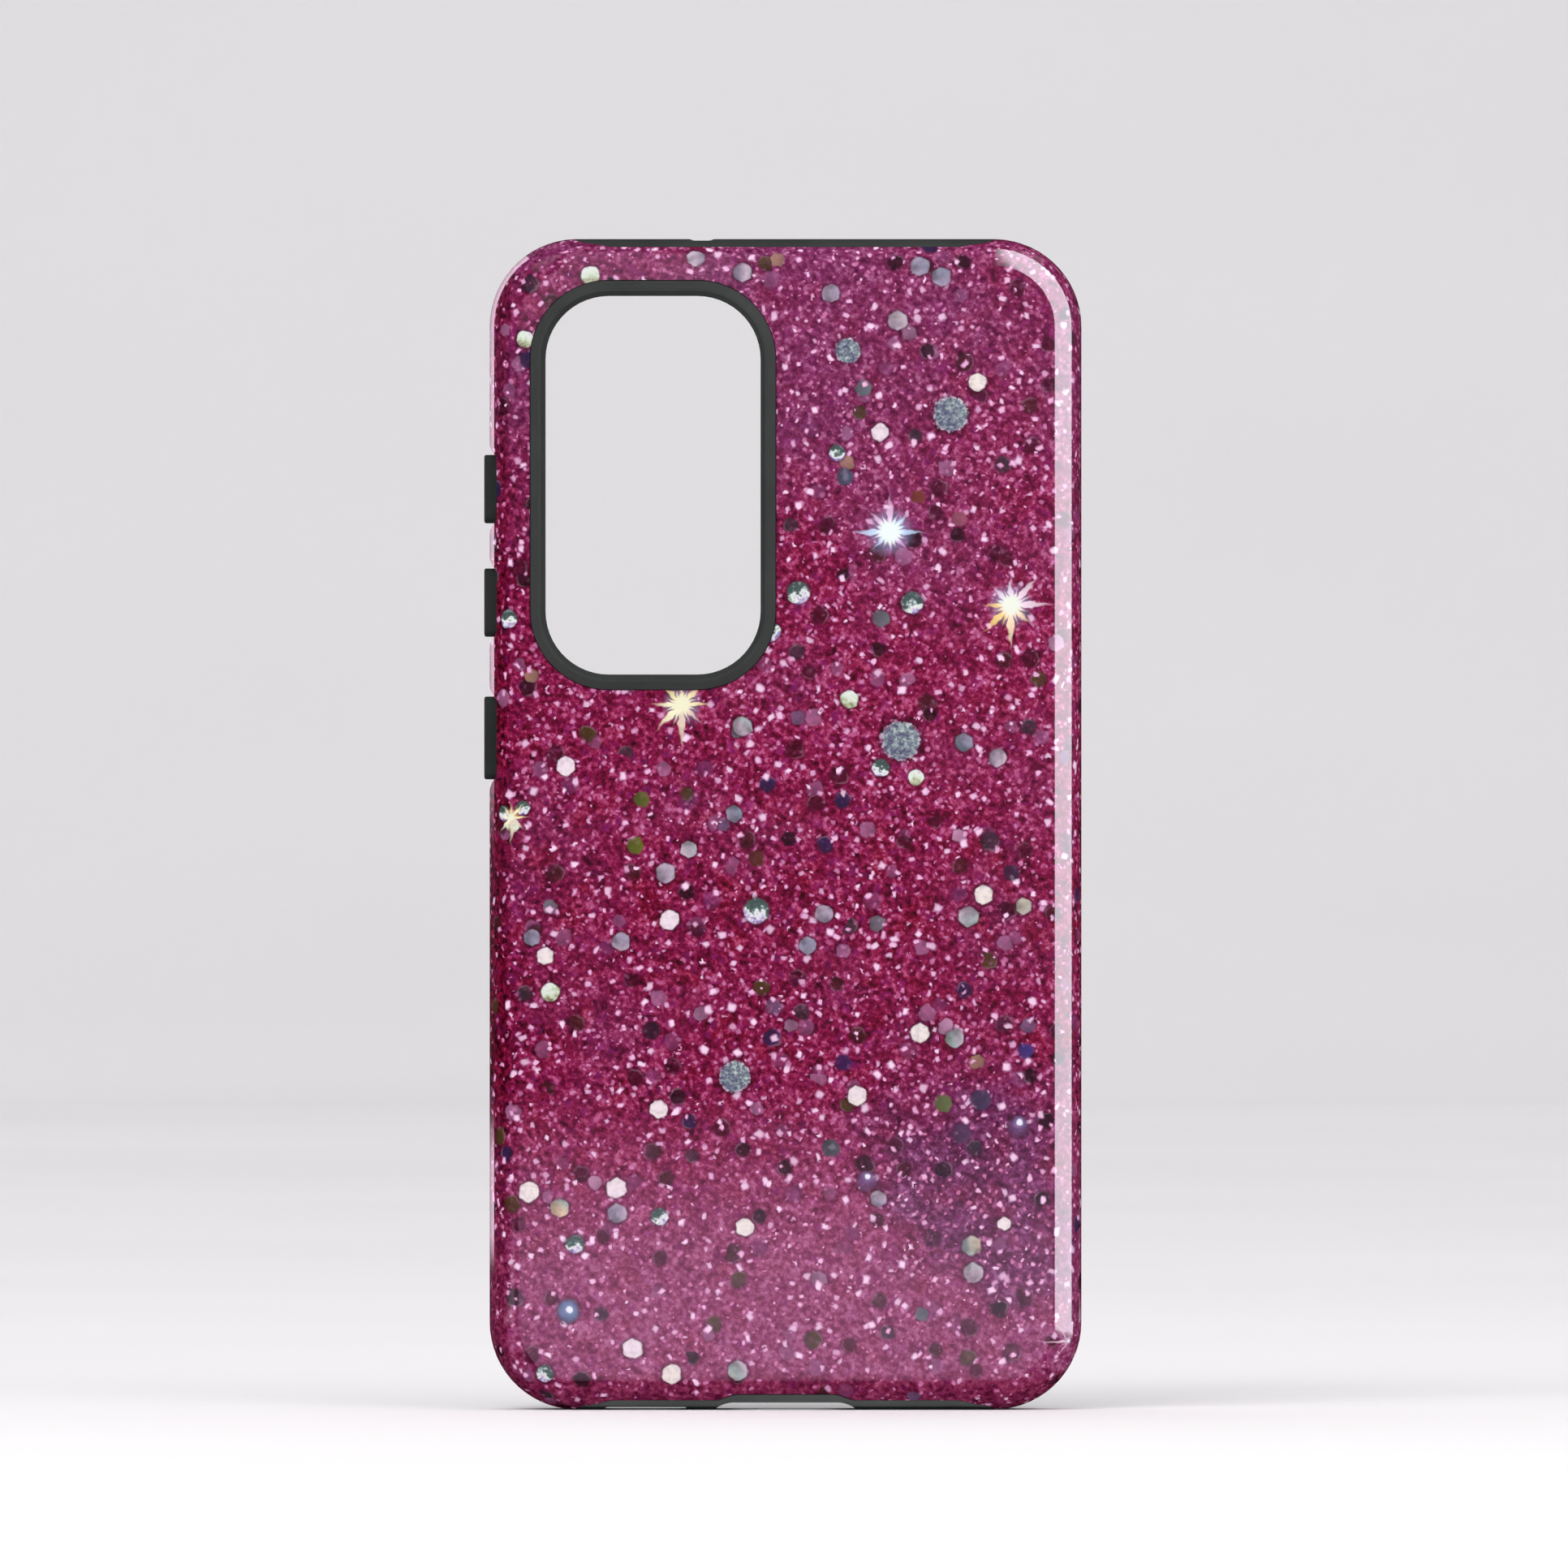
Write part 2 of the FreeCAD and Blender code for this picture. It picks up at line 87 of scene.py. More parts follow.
class Graph:
    """A short way to write a material's nodes: every call returns the new node's output socket."""

    def __init__(self, name):
        self.material = bpy.data.materials.new(name)
        self.material.use_nodes = True
        self.tree = self.material.node_tree
        self.tree.nodes.clear()
        self.shader = self.tree.nodes.new("ShaderNodeBsdfPrincipled")
        output = self.tree.nodes.new("ShaderNodeOutputMaterial")
        self.tree.links.new(self.shader.outputs["BSDF"], output.inputs["Surface"])

    def node(self, kind, **settings):
        made = self.tree.nodes.new(kind)
        for key, value in settings.items():
            setattr(made, key, value)
        return made

    def plug(self, socket, value):
        if isinstance(value, bpy.types.NodeSocket):
            self.tree.links.new(value, socket)
        else:
            socket.default_value = value

    def math(self, operation, first, second=0.0, third=0.0):
        made = self.node("ShaderNodeMath", operation=operation)
        for socket, value in zip(made.inputs, (first, second, third)):
            self.plug(socket, value)
        return made.outputs[0]

    def vector(self, operation, first, second=(0, 0, 0), third=(0, 0, 0)):
        made = self.node("ShaderNodeVectorMath", operation=operation)
        for socket, value in zip(made.inputs, (first, second, third)):
            self.plug(socket, value)
        return made.outputs["Value" if operation == "LENGTH" else "Vector"]

    def mix_vector(self, factor, first, second):
        made = self.node("ShaderNodeMix", data_type="VECTOR")
        self.plug(made.inputs["Factor"], factor)
        ends = [socket for socket in made.inputs if socket.type == "VECTOR" and socket.name in "AB"]
        for socket, value in zip(ends, (first, second)):
            self.plug(socket, value)
        return [socket for socket in made.outputs if socket.type == "VECTOR"][0]

    def split(self, value, kind="ShaderNodeSeparateXYZ"):
        made = self.node(kind)
        self.plug(made.inputs[0], value)
        return made.outputs[0], made.outputs[1], made.outputs[2]

    def join(self, x, y, z=0.0):
        made = self.node("ShaderNodeCombineXYZ")
        for socket, value in zip(made.inputs, (x, y, z)):
            self.plug(socket, value)
        return made.outputs[0]

    def blend(self, factor, below, above):
        """The colour above laid over the colour below, where factor is 1."""
        made = self.node("ShaderNodeMix", data_type="RGBA")
        self.plug(made.inputs[0], factor)
        self.plug(made.inputs[6], below)
        self.plug(made.inputs[7], above)
        return made.outputs[2]

    def shade(self, colour, amount):
        """The colour made lighter or darker by a factor."""
        grey = self.node("ShaderNodeCombineColor")
        for socket in grey.inputs:
            self.plug(socket, amount)
        made = self.node("ShaderNodeMix", data_type="RGBA", blend_type="MULTIPLY")
        self.plug(made.inputs[0], 1.0)
        self.plug(made.inputs[6], colour)
        self.plug(made.inputs[7], grey.outputs[0])
        return made.outputs[2]

    def after(self, colour, place):
        """The same place, but worked out only once the colour is.

        Without it the renderer works out every disc's values first, and runs out of room for them.
        """
        return self.vector("MULTIPLY_ADD", colour, (NO_SHIFT,) * 3, place)

    def between(self, value, low, high, to_low=0.0, to_high=1.0, smooth=False):
        """The value's place between low and high, held to the ends."""
        made = self.node("ShaderNodeMapRange", interpolation_type="SMOOTHSTEP" if smooth else "LINEAR")
        for socket, number in zip(made.inputs, (value, low, high, to_low, to_high)):
            self.plug(socket, number)
        return made.outputs[0]

    def ramp(self, value, stops, interpolation="LINEAR"):
        """A colour ramp from (place, web colour) or (place, number) stops."""
        made = self.node("ShaderNodeValToRGB")
        elements = made.color_ramp.elements
        made.color_ramp.interpolation = interpolation
        while len(elements) < len(stops):
            elements.new(1.0)
        for element, (place, paint) in zip(elements, stops):
            element.position = place
            element.color = linear(paint) if isinstance(paint, str) else (paint, paint, paint, 1.0)
        self.plug(made.inputs[0], value)
        return made.outputs[0]

    def value_ramp(self, value, stops):
        """A stepped ramp of plain numbers from (place, number) stops."""
        return self.split(self.ramp(value, stops, "CONSTANT"), "ShaderNodeSeparateColor")[0]

    def noise(self, vector, scale, detail=2.0, roughness=0.5, colour=False):
        made = self.node("ShaderNodeTexNoise")
        self.plug(made.inputs["Vector"], vector)
        made.inputs["Scale"].default_value = scale
        made.inputs["Detail"].default_value = detail
        made.inputs["Roughness"].default_value = roughness
        return made.outputs[1 if colour else 0]

    def cells(self, vector, size, seed=0):
        """Scattered cells of a size: the distance and offset from a cell's point, and three randoms."""
        layer = self.node("ShaderNodeMapping")
        self.plug(layer.inputs["Vector"], vector)
        layer.inputs["Location"].default_value = (seed * 37.3, seed * 91.7, 0)
        layer.inputs["Rotation"].default_value = (0, 0, 0.5 + seed)
        shifted = layer.outputs[0]
        made = self.node("ShaderNodeTexVoronoi", voronoi_dimensions="2D")
        self.plug(made.inputs["Vector"], shifted)
        made.inputs["Scale"].default_value = 1 / size
        distance = self.math("MULTIPLY", made.outputs["Distance"], size)
        offset = self.vector("SUBTRACT", shifted, made.outputs["Position"])
        return distance, offset, self.split(made.outputs["Color"], "ShaderNodeSeparateColor")

    def bump(self, height, strength, distance):
        made = self.node("ShaderNodeBump")
        made.inputs["Strength"].default_value = strength
        made.inputs["Distance"].default_value = distance
        self.plug(made.inputs["Height"], height)
        return made.outputs[0]


# ------------------------------------------------------------------ the glitter print
# Places on the print are (x, z, radius) in millimetres on the case's back.
FROSTED_DISCS = [(21.5, 129.6, 2.35), (15.0, 87.1, 2.6), (-6.6, 43.4, 2.1), (8.1, 137.9, 1.7)]
GLASS_BEADS = [
    (1.7, 106.4, 1.55), (16.5, 105.1, 1.5), (-3.8, 65.0, 1.75), (-36.2, 103.0, 1.3), (-1.9, 101.3, 1.3),
    (12.4, 83.6, 1.2), (6.7, 124.6, 1.1), (-31.3, 4.8, 1.2), (-27.4, 21.6, 1.3), (-16.4, 25.2, 1.2),
    (-37.0, 77.7, 1.0), (-34.2, 78.4, 0.95),
]
CREAM_BEADS = [
    (-25.4, 147.7, 1.3), (-33.9, 139.4, 1.2), (8.3, 92.5, 1.2), (-30.6, 54.4, 1.25), (17.0, 82.4, 1.1),
    (-35.6, 76.2, 1.0),
]
BLUE_BEADS = [(-28.3, 12.9, 1.6)]
VIOLET_BEADS = [(30.3, 36.9, 1.5), (10.6, 29.8, 1.4)]
WHITE_DISCS = [
    (12.3, 127.3, 1.15), (25.0, 133.8, 1.2), (-28.6, 83.8, 1.25), (-15.1, 63.8, 1.3),
    (-31.3, 59.1, 1.15), (25.8, 67.1, 1.25), (17.5, 49.1, 1.25), (9.3, 40.9, 1.3),
    (-16.5, 39.2, 1.2), (28.4, 24.3, 0.9), (-22.0, 28.9, 1.35), (-33.4, 28.4, 1.35),
    (-19.9, 8.0, 1.35), (-14.8, 4.7, 1.3), (-5.3, 23.8, 1.2),
]
PALE_DISCS = [
    (14.6, 141.8, 1.3), (5.9, 145.4, 1.2), (17.5, 148.9, 1.3), (20.3, 147.5, 1.25), (-11.7, 150.1, 1.2),
    (-5.6, 148.1, 1.25), (-6.2, 5.2, 1.3), (-5.6, 89.0, 1.3), (-15.6, 69.9, 1.3), (-21.4, 61.0, 1.2),
    (23.8, 64.2, 1.35), (23.2, 86.9, 1.2), (27.6, 84.9, 1.2), (-21.9, 25.6, 1.3), (-29.4, 26.3, 1.25),
    (22.0, 48.4, 1.25), (24.4, 17.9, 1.3), (31.0, 65.6, 1.1), (-12.6, 73.0, 1.1), (-33.0, 61.5, 1.1),
    (2.9, 60.5, 1.15), (5.0, 64.6, 1.2), (-6.7, 77.6, 1.1), (24.2, 21.4, 1.3), (12.1, 27.5, 1.1),
]
# The tinted discs are x, z, radius and colour.
TINTED_DISCS = [
    (20.5, 39.9, 1.25, "56653c"), (5.9, 34.1, 1.3, "34484c"), (-18.7, 79.5, 1.1, "4c5a22"),
    (-19.6, 73.5, 1.2, "54601f"), (-3.8, 71.8, 1.2, "4a2a1c"), (0.4, 74.4, 1.1, "1a0c16"),
    (-17.5, 49.4, 1.3, "1c1620"), (7.5, 45.3, 1.2, "2a1c4a"), (25.4, 40.4, 1.5, "3c3450"),
    (22.9, 36.0, 1.4, "48304e"), (29.4, 70.0, 1.2, "2c2038"), (7.7, 121.5, 1.2, "33485a"),
    (17.2, 118.9, 1.0, "6a3424"), (22.6, 116.0, 1.1, "84485a"), (31.2, 46.8, 1.1, "30306e"),
]
# Stars of light: x, z, core radius, ray width, eight ray lengths, core colour, four ray tints.
COOL = ("b9cdea", "dcb4d6", "c4d6f2", "cfa8d6")
WARM = ("e9cfe0", "e4d2e6", "f2cf86", "f0d9b8")
CREAM = ("f1dfae", "e6d59c", "f4ecc8", "dcc8b4")
STARS = [
    (13.6, 114.3, 1.5, 1.25, (5.4, 4.2, 6.0, 4.8, 5.8, 4.0, 3.6, 4.2), "e6f2ee", COOL),
    (29.3, 104.8, 1.35, 1.35, (6.4, 6.0, 4.8, 4.2, 4.4, 6.0, 6.8, 4.4), "e8ecdf", WARM),
    (-13.5, 91.9, 1.2, 1.25, (4.6, 4.6, 3.6, 4.6, 4.8, 5.6, 6.8, 4.4), "ebe8c8", CREAM),
    (-35.7, 77.2, 0.4, 0.75, (3.0, 3.4, 2.4, 2.6, 2.6, 3.2, 4.4, 3.2), "dfe6cf", CREAM),
    (37.4, 8.9, 0.30, 0.34, (0.6, 0.6, 0.6, 4.2, 6.8, 4.6, 0.6, 0.6), "f2e8f0", ("e8c8dc",) * 4),
]


def turned(graph, vector, angle):
    made = graph.node("ShaderNodeVectorRotate", rotation_type="Z_AXIS")
    graph.plug(made.inputs["Vector"], vector)
    graph.plug(made.inputs["Angle"], angle)
    return made.outputs[0]


def hexagon(graph, local):
    """How far out a place is on the scale of a rounded hexagon, for the offset from the centre."""
    x, y, _ = graph.split(local)
    wide = graph.math("ABSOLUTE", x)
    tall = graph.math("ABSOLUTE", y)
    slanted = graph.math("MULTIPLY_ADD", wide, SLANT[0], graph.math("MULTIPLY", tall, SLANT[1]))
    sharp = graph.math("MAXIMUM", slanted, tall)
    round_part = graph.math("MULTIPLY", graph.vector("LENGTH", local), ROUNDING)
    return graph.math("MULTIPLY_ADD", sharp, 1 - ROUNDING, round_part)


def in_radii(graph, uv, x, z, radius):
    """The offset from a disc's centre, in disc radii."""
    return graph.vector("MULTIPLY_ADD", uv, (1 / radius, 1 / radius, 0), (-x / radius, -z / radius, 0))


def nearest(graph, uv, discs):
    """The distance and the offset from the centre of the nearest of some discs, in disc radii."""
    best, offset = 10.0, (0, 0, 0)
    for x, z, radius in discs:
        local = in_radii(graph, uv, x, z, radius)
        distance = graph.vector("LENGTH", local)
        closer = graph.math("LESS_THAN", distance, best)
        offset = graph.mix_vector(closer, offset, local)
        best = graph.math("MINIMUM", distance, best)
    return best, offset


def shadow(graph, colour, distance, strength):
    """A dark halo round a disc whose edge is at distance 1."""
    halo = graph.between(distance, 0.9, 1.4, strength, 0.0, smooth=True)
    return graph.blend(halo, colour, linear(SHADE))


def sequins(graph, uv, colour, size, radius, share, palette, seed, cover, painted_rim=0.0):
    """Scattered rounded hexagons with random turns and tones, a painted lit side and a thin painted
    shadow, and if asked a painted highlight along one side of the rim.
    """
    _, offset, (turn, chance, tone) = graph.cells(uv, size, seed)
    local = turned(graph, offset, graph.math("MULTIPLY", turn, TAU))
    x, _, _ = graph.split(local)
    size_here = graph.between(turn, 0.0, 1.0, 0.75 * radius, 1.08 * radius)
    relative = graph.math("DIVIDE", hexagon(graph, local), size_here)
    present = graph.math("LESS_THAN", chance, share)
    halo = graph.between(relative, 0.9, 1.35, 0.45 * cover, 0.0, smooth=True)
    colour = graph.blend(graph.math("MULTIPLY", halo, present), colour, linear(SHADE))
    mask = graph.math("MULTIPLY", graph.between(relative, 0.80, 1.0, 1.0, 0.0), present)
    # painted shading: each sequin lighter on one side and darker on the other
    side = graph.between(x, -radius, radius, 0.62, 1.3)
    paint = graph.shade(graph.ramp(tone, palette, "CONSTANT"), side)
    # painted highlight: a pale arc along one side of the sequin's rim
    if painted_rim:
        near_edge = graph.between(relative, 0.70, 0.92)
        edge = graph.math("MULTIPLY", near_edge, graph.between(x, 0.2 * radius, 0.8 * radius))
        paint = graph.blend(graph.math("MULTIPLY", edge, painted_rim), paint, linear("d4a8c4"))
    opacity = graph.math("MULTIPLY", mask, graph.between(tone, 0.0, 1.0, 0.6 * cover, cover))
    return graph.blend(opacity, colour, paint)


def grains(graph, uv, colour, size, low, high, share, code, edge_code, seed, clump):
    """Small bright chips with radii from low to high, and varied stretch and brightness.

    clump is a noise that thins and thickens them.
    """
    distance, offset, (spread, chance, tone) = graph.cells(uv, size, seed)
    x, y, _ = graph.split(turned(graph, offset, graph.math("MULTIPLY", tone, 5 * TAU)))
    stretch = graph.between(spread, 0.0, 1.0, 1.0, 1.9)
    wide = graph.math("MULTIPLY", graph.math("ABSOLUTE", x), stretch)
    sharp = graph.math("MAXIMUM", wide, graph.math("ABSOLUTE", y))
    shape = graph.math("MULTIPLY_ADD", sharp, 0.6, graph.math("MULTIPLY", distance, 0.4))
    radius = graph.between(chance, 0.0, share, high, low)
    likely = graph.math("LESS_THAN", chance, graph.math("MULTIPLY", clump, share))
    relative = graph.math("DIVIDE", shape, radius)
    strength = graph.math("MULTIPLY", likely, graph.between(tone, 0.0, 1.0, 0.5, 1.0))
    for layer, start, end in ((edge_code, 0.65, 1.15), (code, 0.4, 0.9)):
        soft = graph.between(relative, start, end, 1.0, 0.0, smooth=True)
        colour = graph.blend(graph.math("MULTIPLY", soft, strength), colour, linear(layer))
    return colour


def star(graph, uv, colour, x, z, core, width, lengths, core_code, tints):
    """A star of light: eight long rays, eight short ones between them, and a bright core."""
    local = graph.vector("SUBTRACT", graph.after(colour, uv), (x, z, 0))
    distance = graph.vector("LENGTH", local)
    glow = graph.between(distance, core, 2.4 * core, 0.5, 0.0, smooth=True)
    colour = graph.blend(glow, colour, linear("8b93bb"))

    longest = max(lengths)
    sectors = []
    for length, following in zip(lengths, lengths[1:] + lengths[:1]):
        sectors += [length, 0.3 * (length + following)]
    count = len(sectors)
    across, up, _ = graph.split(local)
    angle = graph.math("DIVIDE", graph.math("ARCTAN2", up, across), TAU)
    place = graph.math("FRACT", graph.math("ADD", angle, 1 + 0.5 / count))
    share = graph.value_ramp(place, [(i / count, length / longest) for i, length in enumerate(sectors)])
    tint_stops = [(i / count, tints[i * len(tints) // count]) for i in range(count)]
    tint = graph.ramp(place, tint_stops, "CONSTANT")
    within = graph.math("SUBTRACT", graph.math("FRACT", graph.math("MULTIPLY", place, count)), 0.5)
    sideways = graph.math("SINE", graph.math("MULTIPLY", within, TAU / count))
    aside = graph.math("ABSOLUTE", graph.math("MULTIPLY", distance, sideways))
    gone = graph.math("DIVIDE", distance, graph.math("MULTIPLY", share, longest))
    left = graph.between(gone, 0.08, 1.0, 1.0, 0.0)
    taper = graph.math("MULTIPLY", graph.math("POWER", left, 1.6), graph.math("MULTIPLY", share, width))
    ray = graph.between(graph.math("SUBTRACT", aside, taper), -0.26, 0.05, 1.0, 0.0, smooth=True)
    fade = graph.between(left, 0.0, 0.75, 0.25, 1.0)
    colour = graph.blend(graph.math("MULTIPLY", ray, fade), colour, tint)
    pointed = graph.math("MULTIPLY_ADD", aside, 2.5, distance)
    middle = graph.between(pointed, 0.85 * core, 1.6 * core, 1.0, 0.0, smooth=True)
    return graph.blend(middle, colour, linear(core_code))


def chipped(graph, distance, offset):
    """The scale of a rounded hexagon for the nearest disc, whose offset is zero far from every disc."""
    return graph.math("MAXIMUM", hexagon(graph, offset), graph.math("MULTIPLY", distance, 0.85))


def lay(graph, colour, distance, paint, edge=0.85):
    """Lays a disc's paint over the print, with its dark halo of painted shadow."""
    disc = graph.between(distance, edge, 1.0, 1.0, 0.0)
    return graph.blend(disc, shadow(graph, colour, distance, 0.6), paint)


def across_bead(graph, offset, tip, cloud):
    """The place across a bead's tipped and wavy bands of painted light and shade, from 0 to 1."""
    _, rise, _ = graph.split(turned(graph, offset, tip))
    return graph.math("MULTIPLY_ADD", rise, 0.38, graph.math("MULTIPLY_ADD", cloud, 1.6, 0.5))


def lens(graph, uv, colour, beads, glint, cover, codes):
    """Round see-through beads with a white glint at a place of its own, from the inner colour out."""
    distance, offset = nearest(graph, graph.after(colour, uv), beads)
    colour = shadow(graph, colour, distance, 0.5)
    spot = graph.vector("LENGTH", graph.vector("SUBTRACT", offset, glint))
    paint = graph.ramp(spot, [
        (0.0, "eceaf2"), (0.22, "dfe0ee"), (0.32, codes[0]), (0.65, codes[1]), (1.0, codes[2])])
    inside = graph.between(distance, 0.7, 1.05, 1.0, 0.0)
    opacity = graph.between(spot, 0.22, 0.34, 1.0, cover)
    return graph.blend(graph.math("MULTIPLY", inside, opacity), colour, paint)


def base_colour(graph, flat, uv):
    """The print's ground: crimson grain, deep in the middle, mauve at the top and rose at the foot,
    with painted shade along the rounded edges.
    """
    across, up, _ = graph.split(flat)
    slanted = turned(graph, flat, 0.6)
    fine = graph.between(graph.noise(slanted, 1 / 0.7, 2.0, 0.6), 0.34, 0.66)
    _, _, (flake, second, _) = graph.cells(uv, 0.72)
    patch = graph.between(graph.noise(slanted, 1 / 2.4, 3.0, 0.6), 0.32, 0.68)
    level = graph.math("MULTIPLY_ADD", fine, 0.44, graph.math("MULTIPLY", flake, 0.26))
    level = graph.math("MULTIPLY_ADD", patch, 0.30, level)

    drift = graph.between(graph.noise(flat, 1 / 20, 2.0), 0.36, 0.66, -0.35, 0.45)
    under = graph.between(up, 88, 68, smooth=True)
    middle = graph.math("MULTIPLY", under, graph.between(up, 36, 50, smooth=True))
    # painted shade: darker and redder where the shell's edges round away, at the foot, the left and the
    # right
    foot = graph.between(up, 5.4, 3.2, smooth=True)
    painted_rim = graph.math("MAXIMUM", foot, graph.between(across, -35.4, -37.0, smooth=True))
    edge_shade = graph.math("MAXIMUM", painted_rim, graph.between(across, 37.7, 38.6, 0.0, 0.2, smooth=True))
    fades = graph.between(graph.math("ABSOLUTE", across), 41.5, 45.0, 1.0, 0.0)
    edge_shade = graph.math("MULTIPLY", edge_shade, fades)
    left = graph.between(across, -28, -36, smooth=True)
    level = graph.math("SUBTRACT", level, graph.math("MULTIPLY", middle, 0.03))
    level = graph.math("SUBTRACT", level, graph.math("MULTIPLY", left, 0.06))
    level = graph.math("SUBTRACT", level, graph.math("MULTIPLY", edge_shade, 0.13))

    crimson = graph.ramp(level, [
        (0.08, "2c000c"), (0.24, "4f0420"), (0.37, "640830"),
        (0.5, "7b1140"), (0.64, "902852"), (0.82, "b25482")])
    mauve = graph.ramp(level, [
        (0.08, "420c2a"), (0.24, "58193e"), (0.37, "662148"),
        (0.5, "762a54"), (0.64, "863b67"), (0.82, "9d5e86")])
    rose = graph.ramp(level, [
        (0.08, "5a1037"), (0.24, "6e1f47"), (0.37, "7c2c54"),
        (0.5, "8a3a62"), (0.64, "974a73"), (0.82, "a86289")])
    dusk = graph.ramp(level, [
        (0.08, "370b2b"), (0.24, "461335"), (0.37, "541a40"),
        (0.5, "62264d"), (0.64, "723361"), (0.82, "8c517e")])
    high_zone = graph.math("ADD", graph.between(up, 92, 142, 0.0, 0.9, smooth=True), drift)
    colour = graph.blend(high_zone, crimson, mauve)
    low_zone = graph.between(up, 46, 13, 0.0, 1.0, smooth=True)
    colour = graph.blend(low_zone, colour, rose)
    corner = graph.vector("MULTIPLY", graph.vector("SUBTRACT", flat, (26, 30, 0)), (1 / 17, 1 / 21, 0))
    away = graph.math("ADD", graph.vector("LENGTH", corner), drift)
    dark_corner = graph.between(away, 0.30, 1.20, 0.95, 0.0, smooth=True)
    colour = graph.blend(dark_corner, colour, dusk)
    colour = graph.blend(graph.between(second, 0.88, 0.98, 0.0, 0.35), colour, linear("842470"))
    red = graph.between(graph.noise(flat, 1 / 5.0, 3.0), 0.50, 0.68, 0.0, 0.6)
    red = graph.math("MULTIPLY", red, graph.between(middle, 0.0, 1.0, 0.55, 1.0))
    blood = graph.ramp(level, [(0.1, "2e0008"), (0.5, "7a0424"), (0.9, "b04060")])
    # the print's red patches, and the painted edge shade, which is redder too
    red_and_edge_shade = graph.math("MAXIMUM", red, graph.math("MULTIPLY", edge_shade, 0.4))
    return graph.blend(red_and_edge_shade, colour, blood), edge_shade


def scatter(graph, flat, uv, colour, edge_shade):
    """The random chips and sequins, from the small ones up, which thin out under the painted shade at
    the edges.
    """
    clump = graph.between(graph.noise(flat, 1 / 3.4, 3.0, 0.65), 0.38, 0.64, 0.2, 1.8)
    # fewer chips under the painted edge shade
    clump = graph.math("MULTIPLY", clump, graph.between(edge_shade, 0.0, 1.0, 1.0, 0.55))

    colour = grains(graph, uv, colour, 0.95, 0.20, 0.42, 0.34, "c678a4", "9c4474", 5, clump)
    colour = sequins(graph, uv, colour, 4.6, 1.15, 0.24, [
        (0.0, "8a4a78"), (0.3, "9c5f8c"), (0.55, "763668"), (0.75, "a8709a")], 11, 0.5)
    colour = sequins(graph, uv, colour, 4.9, 1.2, 0.38, [
        (0.0, "2c0612"), (0.20, "2e1a0e"), (0.36, "1c2a30"), (0.48, "3c3a10"),
        (0.60, "40081c"), (0.78, "1a0a10"), (0.93, "221c42")], 7, 0.85, painted_rim=0.35)
    colour = sequins(graph, uv, colour, 8.2, 1.1, 0.16, [
        (0.0, "6c5c80"), (0.25, "6b7782"), (0.45, "906a86"), (0.6, "9d7a68"), (0.75, "58696f"),
        (0.88, "b484a4")], 13, 0.8)
    colour = grains(graph, uv, colour, 1.5, 0.24, 0.54, 0.25, "e6b6d6", "b4669a", 17, clump)
    return grains(graph, uv, colour, 2.2, 0.34, 0.68, 0.21, "f2d0e6", "c48ab8", 19, clump)


